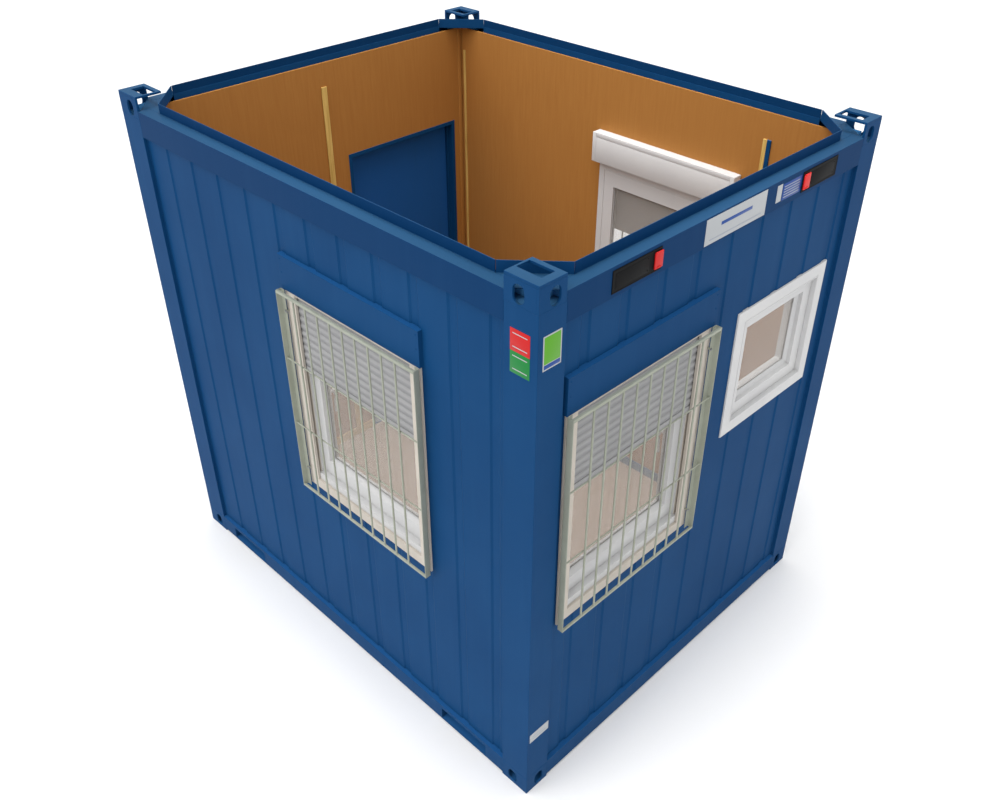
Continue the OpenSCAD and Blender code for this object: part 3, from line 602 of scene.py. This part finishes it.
def windowGrille(wall, nodeName, style):
    grille = Shape()
    half, face, back, flange, t = pick(style, "half", "face", "back", "flange", "wallThickness")
    low, high = pick(style, "bottom", "top")
    for side in (-1, 1):
        angle = [(half, face), (half, back - 0.003), (half - 0.0009, back - 0.0009), (half - 0.003, back),
                 (half - flange, back), (half - flange, back - t), (half - t - 0.003, back - t),
                 (half - t - 0.0009, back - t - 0.0009), (half - t, back - t - 0.003), (half - t, face)]
        outline = [(u * side, d) for u, d in angle]
        grille.sweep(outline, low, high, axis=2)
    inner, topBar, bottomBar = half - t + 0.0006, style["topBar"], style["bottomBar"]
    grille.block((-inner, face, high - topBar), (inner, face + topBar, high - 0.0005), 0.0022, 3)
    grille.block((-inner, face, low + 0.0005), (inner, face + bottomBar, low + bottomBar), 0.0018, 3)
    dice = random.Random(style["weldSeed"] + len(wall))
    rodDepth = face + style["rodRadius"]
    levelDepth = rodDepth + 2 * style["rodRadius"] - 0.002
    rodPlaces = [(i - (style["rods"] - 1) / 2) * style["pitch"] for i in range(style["rods"])]
    for u in rodPlaces:
        grille.tube([(u, rodDepth, low + 0.002), (u, rodDepth, high - 0.002)], style["rodRadius"], 16)
        for z in (low + bottomBar, high - topBar):
            grille.blob((u, rodDepth + 0.003, z), (0.0068, 0.0045, 0.003), dice)
    for z in style["levels"]:
        ends = half - 0.001
        grille.tube([(-ends, levelDepth, low + z), (ends, levelDepth, low + z)], style["levelRadius"], 14)
        for u in rodPlaces:
            for step in (-1, 1):
                grille.blob((u + step * 0.0042, rodDepth + 0.0055, low + z), (0.0028, 0.0032, 0.0038), dice)
        for u in (-half + t, half - t):
            grille.blob((u, levelDepth, low + z), (0.003, 0.006, 0.006), dice)
    for side in (-1, 1):
        for z in (low + 0.006, high - 0.0075):
            grille.blob((side * (half - t), face + 0.014, z), (0.003, 0.003, 0.0055), dice)
    made = grille.piece(wall + "Grille", windows[wall], "grillePaint", smoothUnder=50)
    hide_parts(nodeName)
    # spacer sleeves and the bolts through them
    sleeves, bolts = Shape(), Shape()
    for side in (-1, 1):
        for z in style["spacers"]:
            u = side * (half - flange + 0.007)
            sleeves.turned((u, back, low + z), (0, 1, 0), [(0, 0), (0.0042, 0), (0.005, 0.0008), (0.005, 0.0132),
                                                           (0.0042, 0.014), (0, 0.014)], 20)
            bolts.turned((u, back - t, low + z), (0, -1, 0),
                         [(0, 0), (0.0085, 0), (0.0085, 0.001), (0.0078, 0.0013), (0, 0.0013)], 28)
            bolts.turned((u, back - t - 0.0012, low + z), (0, -1, 0),
                         [(0, 0), (0.0062, 0), (0.0062, 0.0032), (0.0052, 0.004), (0, 0.004)], 6)
    sleeves.piece(wall + "GrilleSpacers", windows[wall], "grillePaint")
    bolts.piece(wall + "GrilleBolts", windows[wall], "bareSteel", smoothUnder=25)


for wallName, cadNode in {"left": "left_grille", "right": "right_grille", "windowEnd": "end_grille"}.items():
    windowGrille(wallName, cadNode, grilleShape)
print("grilles fitted")

# seals, handles and fittings of the large windows

windowStyle = {
    "glassHalf": 0.356, "glassLow": 1.295, "glassHigh": 2.164, "pane": 0.092, "sashHalf": 0.4305,
    "sashLow": 1.151, "sashHigh": 2.257, "sashFace": 0.062, "room": 0.116, "sillFace": 0.026, "capHeight": 1.162,
    "capPlaces": (-0.30, 0.30), "handleSide": {"left": -1, "windowEnd": 1, "right": 1}, "handleHeight": 1.69,
}


def windowFittings(wall, style):
    place = windows[wall]
    g, low, high, pane, room = pick(style, "glassHalf", "glassLow", "glassHigh", "pane", "room")
    # outer and inner glazing gasket
    gasket = Shape()
    gasket.ring((-g, low), (g, high), 0.0028, (pane - 0.0045, pane - 0.0001), 0.0008)
    gasket.ring((-g, low), (g, high), 0.0028, (pane + 0.0081, pane + 0.0115), 0.0008)
    gasket.piece(wall + "GlassGasket", place, "gasket")
    # rubber lip between sash and frame
    lip = Shape()
    s, sashLow, sashHigh, face = pick(style, "sashHalf", "sashLow", "sashHigh", "sashFace")
    lip.ring((-s - 0.0009, sashLow - 0.0009), (s + 0.0009, sashHigh + 0.0009), 0.0016,
             (face - 0.0012, face + 0.004), 0.0004)
    lip.piece(wall + "SashLip", place, "gasket")
    # slotted drain caps on the sill
    caps = Shape()
    z, face = style["capHeight"], style["sillFace"]
    for u in style["capPlaces"]:
        caps.block((u - 0.016, face - 0.0022, z - 0.0055), (u + 0.016, face, z + 0.0055), 0.0014)
        caps.block((u - 0.013, face - 0.0034, z - 0.0008), (u + 0.013, face - 0.0018, z + 0.003), 0.0008)
    caps.piece(wall + "DrainCaps", place, "whitePlastic")
    # turn handle on the room side of the sash
    handle = Shape()
    u = style["handleSide"][wall] * (g + 0.037)
    z = style["handleHeight"]
    handle.block((u - 0.0145, room, z - 0.034), (u + 0.0145, room + 0.011, z + 0.034), 0.004, 3)
    handle.turned((u, room + 0.010, z), (0, 1, 0),
                  [(0.0125, 0), (0.0105, 0.004), (0.0092, 0.012), (0.0092, 0.026), (0, 0.026)], 24)
    bend = ((0.034, 0.006), (0.042, -0.001), (0.045, -0.02), (0.045, -0.06), (0.044, -0.1), (0.041, -0.128))
    grip = [(u, room + out, z + rise) for out, rise in bend]
    handle.tube(grip, 0.0088, 16)
    handle.blob(grip[-1], (0.0088, 0.0088, 0.0075), random.Random(2))
    handle.piece(wall + "WindowHandle", place, "whitePlastic", smoothUnder=45)
    # hinge covers on the other side of the sash
    covers = Shape()
    u = -style["handleSide"][wall] * (s + 0.004)
    for z in (sashLow + 0.07, sashHigh - 0.10):
        covers.tube([(u, room + 0.008, z - 0.032), (u, room + 0.008, z + 0.032)], 0.0075, 18)
        covers.block((u - 0.012, room + 0.0005, z - 0.028), (u + 0.012, room + 0.005, z + 0.028), 0.0015)
    covers.piece(wall + "HingeCovers", place, "whitePlastic", smoothUnder=45)


for wallName in windows:
    windowFittings(wallName, windowStyle)

boxStyle = {"half": 0.5015, "near": 0.097, "far": 0.160, "low": 2.310, "high": 2.490, "lid": 0.0022}


def boxFittings(wall, style):
    # end caps and two-part lid of the inner shutter box; rivets of the outer cover
    place = windows[wall]
    lid = Shape()
    half, low, high, near, far = pick(style, "half", "low", "high", "near", "far")
    for side in (-1, 1):
        u0, u1 = sorted((side * half, side * (half + style["lid"])))
        lid.block((u0, near + 0.0005, low + 0.001), (u1, far + 0.001, high - 0.001), 0.0009)
        u2, u3 = sorted((side * (half - 0.024), side * (half + 0.0015)))
        lid.block((u2, far, low + 0.001), (u3, far + 0.0016, high - 0.001), 0.0007)
    lid.block((-half + 0.027, far, low + 0.006), (half - 0.027, far + 0.0016, high - 0.03), 0.0007)
    lid.block((-half + 0.027, far, high - 0.026), (half - 0.027, far + 0.0012, high - 0.004), 0.0006)
    lid.piece(wall + "ShutterBoxLid", place, "whitePlastic")
    rivets = Shape()
    for side in (-1, 1):
        for z in (low + 0.02, (low + high) / 2, high - 0.02):
            screw(rivets, (side * (half - 0.018), 0.0001, z), (0, -1, 0), 0.0042, 0.0018)
    rivets.piece(wall + "CoverRivets", place, "bluePaint")


for wallName in windows:
    boxFittings(wallName, boxStyle)

grooveStyle = {"sideFirst": 0.242, "endFirst": 0.290, "pitch": 0.236, "half": 0.029, "inner": 0.0205,
               "face": 0.0218, "bottom": 0.0278}


def groovePlaces(wall, style):
    # centres of the sheet's grooves, from the wall's left end
    count = int((wallWidths[wall] - 2 * style["sideFirst"]) / style["pitch"]) + 1
    first = style["endFirst" if wall.endswith("End") else "sideFirst"]
    places = [first + i * style["pitch"] for i in range(count)]
    return [wallWidths[wall] - u for u in places] if wall == "left" else places


def grooveTabs(shape, wall, low, high, z0, z1, style):
    # closes the grooves along a level edge, between two places
    half, inner, face, bottom = pick(style, "half", "inner", "face", "bottom")
    for centre in groovePlaces(wall, style):
        u0, u1 = max(centre - half, low), min(centre + half, high)
        if u1 - u0 > 0.01:
            i0, i1 = max(centre - inner, u0), min(centre + inner, u1)
            shape.sweep([(u0, face - 0.003), (u1, face - 0.003), (u1, face + 0.0004), (i1, bottom), (i0, bottom),
                         (u0, face + 0.0004)], z0, z1, axis=2)


def coverFlashing(wall, style):
    # folded ledge along the top of the outer shutter cover
    top = boxStyle["high"]
    start, end = windowCentres[wall] - boxStyle["half"], windowCentres[wall] + boxStyle["half"]
    ledge = Shape()
    ledge.sweep([(-0.0008, top - 0.004), (-0.0008, top + 0.0012), (0.0004, top + 0.0024), (0.0218, top + 0.0042),
                 (0.0218, top + 0.0002), (0.0004, top + 0.0002), (0.0004, top - 0.004)], start, end)
    grooveTabs(ledge, wall, start, end, top - 0.001, top + 0.004, style)
    ledge.piece(wall + "CoverFlashing", walls[wall], "bluePaint")


for wallName in windows:
    coverFlashing(wallName, grooveStyle)
print("window fittings done")

# wash-room window

washStyle = {"centre": 1.800, "halfTrim": 0.395, "low": 1.540, "high": 2.262, "trim": 0.070, "face": 0.014,
             "openHalf": 0.226, "openLow": 1.709, "openHigh": 2.093, "pane": 0.072}


def washWindow(style):
    centre, h, low, high, trim, face = pick(style, "centre", "halfTrim", "low", "high", "trim", "face")
    place = walls["windowEnd"] @ Matrix.Translation((centre, 0, 0))
    gasket = Shape()
    g, pane = pick(style, "openHalf", "pane")
    gasket.ring((-g, style["openLow"]), (g, style["openHigh"]), 0.0024, (pane - 0.004, pane - 0.0001), 0.0007)
    gasket.piece("washGlassGasket", place, "gasket")
    # fine line of sealant round the trim
    bead = Shape()
    bead.ring((-h - 0.002, low - 0.002), (h + 0.002, high + 0.002), 0.0026, (0.0185, 0.0222), 0.001)
    bead.piece("washTrimSealant", place, "whitePlastic")
    # raised inner lip of the trim
    lip = Shape()
    inner = h - trim + 0.006
    lip.ring((-inner, low + trim - 0.006), (inner, high - trim + 0.006), 0.0055,
             (face - 0.002, face + 0.0006), 0.001)
    lip.piece("washTrimLip", place, "whitePlastic")
    tabs = Shape()
    for z0, z1 in ((high - 0.004, high + 0.0005), (low - 0.0005, low + 0.004)):
        grooveTabs(tabs, "windowEnd", centre - h, centre + h, z0, z1, grooveStyle)
    tabs.piece("washTrimTabs", walls["windowEnd"], "whitePlastic")


washWindow(washStyle)

# sealant and weld lines of the frame

frameStyle = {
    "fascia": 2.750, "railTop": 0.126, "postEnd": 0.152, "postSide": 0.174, "cladding": 0.022,
    "castingLow": 0.118, "castingHigh": 2.842, "castingTopEnd": 0.148, "bead": 0.0022, "weldSeed": 5,
}


def sealantLines(style):
    # under the fascia and down both posts of each wall
    d, top, low, bead = style["cladding"] - 0.001, style["fascia"], style["railTop"], style["bead"]
    for wall, place in walls.items():
        post = style["postEnd" if wall.endswith("End") else "postSide"]
        wide = wallWidths[wall]
        line = Shape()
        line.tube([(post + 0.001, d, top - 0.0006), (wide - post - 0.001, d, top - 0.0006)], bead, 8)
        line.piece(wall + "SealantLines", place, "sealant")
        sides = Shape()
        for u in (post + 0.0008, wide - post - 0.0008):
            sides.tube([(u, d, low + 0.002), (u, d, top - 0.002)], bead, 8)
        sides.piece(wall + "SideBeads", place, "bluePaint")


def weldSeams(style):
    # rippled beads where posts, castings and rails are joined
    dice = random.Random(style["weldSeed"])
    depth, steps = 0.0009, 26
    for wall, place in walls.items():
        isEnd = wall.endswith("End")
        post, casting = style["postEnd" if isEnd else "postSide"], style["castingTopEnd" if isEnd else "postSide"]
        wide = wallWidths[wall]
        seams = Shape()
        for u0, u1 in ((0.004, post - 0.002), (wide - post + 0.002, wide - 0.004)):
            for z in (style["castingLow"], style["castingHigh"]):
                seams.tube([(u0 + (u1 - u0) * i / steps, depth, z + dice.uniform(-0.0005, 0.0005))
                            for i in range(steps + 1)], 0.0019, 8)
        # upright seams: half the space between the pair, foot, height, steps, radius
        for edge, z, tall, count, radius in ((casting, style["castingHigh"], 0.044, 9, 0.0017),
                                             (post, 0.016, 0.109, 16, 0.0018)):
            for u in (edge + 0.0005, wide - edge - 0.0005):
                seams.tube([(u + dice.uniform(-0.0004, 0.0004), depth, z + tall * i / count)
                            for i in range(count + 1)], radius, 8)
        seams.piece(wall + "WeldSeams", place, "bluePaint", smoothUnder=60)


heartStyle = {"inset": 0.0125, "near": 0.060, "far": 0.063, "endWidth": 0.147, "sideWidth": 0.173, "low": 2.8454,
              "high": 2.8825, "deep": 0.084, "floor": 0.002, "cheek": 0.0025}


def castingHearts(style):
    # painted sheets that close each top casting off from the wall behind it; their pale blue is painted light,
    # standing in for light reaching into the casting
    hearts = Shape()
    inset, near, far, low, high, deep = pick(style, "inset", "near", "far", "low", "high", "deep")
    endWidth, sideWidth, cheek = pick(style, "endWidth", "sideWidth", "cheek")
    floor = low + style["floor"]
    sheets = (((near, near, low), (endWidth, far, high)), ((near, far, low), (far, sideWidth, high)),
              ((inset, inset, low), (endWidth, deep, floor)), ((inset, deep, low), (deep, sideWidth, floor)),
              ((endWidth - cheek, inset, floor), (endWidth, near, high)),
              ((inset, sideWidth - cheek, floor), (near, sideWidth, high)))
    for signX in (-1, 1):
        for signY in (-1, 1):
            for sheet in sheets:
                ends = [(signX * (halfWidth - x), signY * (halfLength - y), z) for x, y, z in sheet]
                hearts.block([min(pair) for pair in zip(*ends)], [max(pair) for pair in zip(*ends)], 0.0004)
    hearts.piece("castingHearts", Matrix.Identity(4), "pocketPaint")


sealantLines(frameStyle)
weldSeams(frameStyle)
castingHearts(heartStyle)
print("frame seams drawn")

# plates and labels, all blank

labelLayout = {
    # name: wall, finish, low (u, z), high (u, z), how far it stands off the steel
    "signPlate": ("windowEnd", "labelWhite", (1.000, 2.758), (1.450, 2.878), 0.0012),
    "signBar": ("windowEnd", "labelBlue", (1.110, 2.822), (1.340, 2.838), 0.0015),
    "smallWhiteLabel": ("windowEnd", "labelWhite", (1.533, 2.784), (1.574, 2.866), 0.0008),
    "blueLabel": ("windowEnd", "labelBlue", (1.580, 2.782), (1.734, 2.861), 0.0008),
    "footLabel": ("windowEnd", "labelWhite", (0.015, 0.403), (0.148, 0.463), 0.0008),
    "postLabelBase": ("windowEnd", "labelWhite", (0.028, 2.593), (0.129, 2.743), 0.0008),
    "postLabelField": ("windowEnd", "labelGreen", (0.034, 2.620), (0.123, 2.737), 0.0012),
    "postLabelFoot": ("windowEnd", "labelBlue", (0.034, 2.599), (0.123, 2.617), 0.0012),
    "redLabel": ("left", "labelRed", (2.849, 2.646), (2.951, 2.743), 0.0008),
    "greenLabel": ("left", "labelDeepgreen", (2.849, 2.549), (2.951, 2.6455), 0.0008),
}
labelLines = {
    # thin plain lines on a label: finish, height of each line, width share, places along the height
    "blueLabel": ("labelGrey", 0.0045, 0.84, (0.16, 0.32, 0.48, 0.64, 0.80)),
    "footLabel": ("labelGrey", 0.004, 0.7, (0.3, 0.6)),
    "signPlate": ("labelGrey", 0.006, 0.86, (0.16,)),
    "redLabel": ("labelWhite", 0.004, 0.74, (0.2, 0.8)),
    "greenLabel": ("labelWhite", 0.004, 0.74, (0.2, 0.8)),
}


def flatLabel(name, layout, lines):
    wall, finishName, low, high, proud = layout
    shape = Shape()
    shape.block((low[0], -proud, low[1]), (high[0], 0.0002, high[1]), 0.0004)
    shape.piece(name, walls[wall], finishName)
    if lines:
        lineFinish, tall, share, places = lines
        middle, half = (low[0] + high[0]) / 2, (high[0] - low[0]) * share / 2
        marks = Shape()
        for place in places:
            z = low[1] + (high[1] - low[1]) * place
            marks.block((middle - half, -proud - 0.0003, z - tall / 2),
                        (middle + half, -proud + 0.0002, z + tall / 2), 0.0001)
        marks.piece(name + "Lines", walls[wall], lineFinish)


for labelName, labelPlace in labelLayout.items():
    flatLabel(labelName, labelPlace, labelLines.get(labelName))

panelStyle = {
    # each plate's start and its flap's start
    "places": ((0.402, 0.655), (1.745, 1.750)), "width": 0.303, "low": 2.770, "high": 2.870, "face": -0.003,
    "flapWidth": 0.051, "flapLow": 2.783, "flapHigh": 2.853, "coverWidth": 0.205,
}


def socketPanels(style):
    # rim, screws and blank cover of each black plate, with its red flap
    rim, flap, screws = Shape(), Shape(), Shape()
    low, high, face, flapLow, flapHigh = pick(style, "low", "high", "face", "flapLow", "flapHigh")
    for plate, flapStart in style["places"]:
        flapEnd = flapStart + style["flapWidth"]
        rim.ring((plate + 0.0015, low + 0.0015), (plate + style["width"] - 0.0015, high - 0.0015), 0.004,
                 (face - 0.0008, face + 0.0005), 0.0004)
        coverStart = plate + 0.018 if flapStart > plate + 0.1 else plate + 0.072
        coverEnd = coverStart + style["coverWidth"]
        rim.block((coverStart, face - 0.0008, low + 0.016), (coverEnd, face + 0.0005, high - 0.016), 0.0005)
        for u in (coverStart + 0.008, coverEnd - 0.008):
            for z in (low + 0.024, high - 0.024):
                screw(screws, (u, face - 0.0007, z), (0, -1, 0), 0.0032, 0.0012)
        flap.block((flapStart, face - 0.0075, flapLow), (flapEnd, face + 0.0003, flapHigh), 0.003, 3)
        flap.block((flapStart + 0.012, face - 0.0105, flapLow + 0.003),
                   (flapEnd - 0.012, face - 0.006, flapLow + 0.010), 0.0018, 3)
        flap.tube([(u, face - 0.0042, flapHigh + 0.0005) for u in (flapStart + 0.003, flapEnd - 0.003)], 0.0036, 14)
    rim.piece("socketPanelRims", walls["windowEnd"], "blackPlastic")
    flap.piece("socketPanelFlaps", walls["windowEnd"], "redPlastic")
    screws.piece("socketPanelScrews", walls["windowEnd"], "blackPlastic")


socketPanels(panelStyle)
print("labels and plates fixed")

# trims of the room

roomStyle = {
    "lining": 0.097, "top": 2.8610, "skirting": 0.2005, "seam": 0.0022, "batten": (0.1055, 0.133),
    # where each wall's cover strip stands, and its foot
    "joints": {"doorEnd": (1.224, 2.7225), "windowEnd": (1.211, 2.7225), "right": (1.713, 2.728),
               "left": (1.276, 2.728)},
}


def roomTrims(style):
    # batten beside the far corner, on the door end
    lining, top, seam = pick(style, "lining", "top", "seam")
    start, end = style["batten"]
    batten = Shape()
    batten.block((start, lining, style["skirting"]), (end, lining + 0.006, top), 0.0015, 3)
    batten.piece("cornerBatten", walls["doorEnd"], "liningBoard")
    # cover strips over the board joints
    for wall, (u, low) in style["joints"].items():
        strip = Shape()
        strip.sweep([(u - seam, lining), (u - seam * 0.5, lining + 0.0009), (u + seam * 0.5, lining + 0.0009),
                     (u + seam, lining)], low, top, axis=2)
        strip.piece(wall + "BoardJoint", walls[wall], "liningBoard")


roomTrims(roomStyle)

# entrance door

doorStyle = {
    "rebateLow": 0.1455, "leafFace": 0.002, "leafBack": 0.038, "jamb": 0.197, "jambFar": 1.066, "head": 2.242,
    "leverU": 0.999, "leverZ": 1.185, "plate": 0.006, "leafLow": 0.152, "leafHigh": 2.235, "leafStart": 0.204,
    "leafEnd": 1.059, "stop": 0.216, "stopFar": 1.047, "threshold": 0.1452, "ribs": 9, "ribPitch": 0.009,
    "cylinderDrop": 0.062, "rosetteRise": 0.030, "screwReach": 0.098, "foldInset": 0.022,
}


def doorFittings(style):
    place = walls["doorEnd"]
    face, back, low, high = pick(style, "leafFace", "leafBack", "leafLow", "leafHigh")
    start, end, stop, stopFar = pick(style, "leafStart", "leafEnd", "stop", "stopFar")
    # hollow rubber profile against the stop
    seal = Shape()
    d, head = back + 0.0026, style["head"] - 0.010
    sides = (style["jamb"] + 0.010, style["jambFar"] - 0.010)
    for u in sides:
        seal.tube([(u, d, style["rebateLow"] + 0.006), (u, d, head)], 0.0024, 10)
    seal.tube([(u, d, head) for u in sides], 0.0024, 10)
    seal.piece("doorSeal", place, "rubberSeal", smoothUnder=60)
    # threshold plate with ribs
    step = Shape()
    z = style["threshold"]
    step.block((stop + 0.001, 0.0045, z), (stopFar - 0.001, 0.094, z + 0.0012), 0.0005)
    for i in range(style["ribs"]):
        d0 = 0.010 + i * style["ribPitch"]
        step.block((stop + 0.004, d0, z + 0.0011), (stopFar - 0.004, d0 + 0.003, z + 0.0017), 0.0003)
    step.piece("doorThreshold", place, "bareSteel")
    # lock cylinder, rosettes and screws on both lever plates
    lock, screws = Shape(), Shape()
    u, leverZ = pick(style, "leverU", "leverZ")
    z = leverZ - style["cylinderDrop"]
    for outer, sign in ((face - style["plate"], -1), (back + style["plate"], 1)):
        lock.turned((u, outer, z), (0, sign, 0),
                    [(0.0125, 0), (0.0118, 0.0014), (0.0092, 0.0018), (0.0088, 0.0034), (0.0024, 0.0034),
                     (0.0022, 0.0016), (0, 0.0016)], 28)
        lock.block((u - 0.0042, outer - 0.0014, z - 0.024), (u + 0.0042, outer + 0.0014, z - 0.006), 0.0012, 3)
        lock.turned((u, outer, leverZ + style["rosetteRise"]), (0, sign, 0),
                    [(0.0145, 0), (0.0145, 0.0016), (0.0125, 0.0034), (0.0092, 0.004), (0.0081, 0.004)], 28)
        for side in (-1, 1):
            screw(screws, (u, outer, leverZ + side * style["screwReach"]), (0, sign, 0), 0.0042, 0.0018)
    lock.piece("doorLock", place, "bareSteel", body="entrance_door", smoothUnder=35)
    screws.piece("doorPlateScrews", place, "bareSteel", body="entrance_door")
    # folded edge lines and a drip rail on the outer skin
    skin = Shape()
    inset = style["foldInset"]
    skin.ring((start + inset, low + inset), (end - inset, high - inset), 0.006,
              (face - 0.0014, face + 0.0005), 0.0011)
    skin.sweep([(face + 0.0004, low + 0.010), (face - 0.008, low + 0.006), (face - 0.0092, low + 0.0075),
                (face - 0.0092, low + 0.0095), (face - 0.001, low + 0.0205), (face + 0.0004, low + 0.0205)],
               start + 0.030, end - 0.030)
    skin.piece("doorSkinFolds", place, "bluePaint", body="entrance_door")


doorFittings(doorStyle)
print("door fitted out")

# floor, light and camera

stageStyle = {"half": 40, "colour": (245, 245, 245), "worldStrength": 1.0, "sunStrength": 1.36, "sunAngle": 60,
              "sunFrom": (-3.2, 0.6, 4.0), "overSize": (2.6, 3.1), "overHeight": 6.2, "overPower": 45,
              "overSpread": 60}


def studio(style):
    floorMesh = bpy.data.meshes.new("studioFloor")
    far = style["half"]
    floorMesh.from_pydata([(-far, -far, 0), (far, -far, 0), (far, far, 0), (-far, far, 0)], [], [(0, 1, 2, 3)])
    floor = bpy.data.objects.new("studioFloor", floorMesh)
    bpy.context.scene.collection.objects.link(floor)
    paper = Finish("studioPaper", Roughness=0.9)
    paper.drive(Base_Color=paper.mix(paper.grain(2.0), style["colour"], (250, 250, 250)))
    floorMesh.materials.append(paper.material)
    sun = bpy.data.lights.new("keySun", "SUN")
    sun.energy = style["sunStrength"]
    sun.angle = math.radians(style["sunAngle"])
    sunLamp = bpy.data.objects.new("keySun", sun)
    sunLamp.rotation_euler = Vector(style["sunFrom"]).to_track_quat("Z", "Y").to_euler()
    # a soft panel over the open room
    panel = bpy.data.lights.new("overheadPanel", "AREA")
    panel.shape = "RECTANGLE"
    panel.size, panel.size_y = style["overSize"]
    panel.energy = style["overPower"]
    panel.spread = math.radians(style["overSpread"])
    panelLamp = bpy.data.objects.new("overheadPanel", panel)
    panelLamp.location = (0, 0, style["overHeight"])
    panelLamp.visible_camera = False
    for lamp in (sunLamp, panelLamp):
        bpy.context.scene.collection.objects.link(lamp)
    world = bpy.data.worlds.new("studioWorld")
    world.use_nodes = True
    backdrop = world.node_tree.nodes["Background"]
    backdrop.inputs["Color"].default_value = (1, 1, 1, 1)
    backdrop.inputs["Strength"].default_value = style["worldStrength"]
    bpy.context.scene.world = world


studio(stageStyle)

cameraStyle = {"place": (-3.44525, -3.53021, 4.60848), "aim": (-0.12547, -0.21077, 1.3), "lens": 35.755,
               "sensor": 36}


def setCamera(style):
    data = bpy.data.cameras.new("mainCamera")
    data.lens = style["lens"]
    data.sensor_width = style["sensor"]
    camera = bpy.data.objects.new("mainCamera", data)
    camera.location = style["place"]
    towards = Vector(style["aim"]) - Vector(style["place"])
    camera.rotation_euler = towards.to_track_quat("-Z", "Y").to_euler()
    bpy.context.scene.collection.objects.link(camera)
    bpy.context.scene.camera = camera


setCamera(cameraStyle)
bpy.context.scene.view_settings.view_transform = "Standard"
print("studio ready")
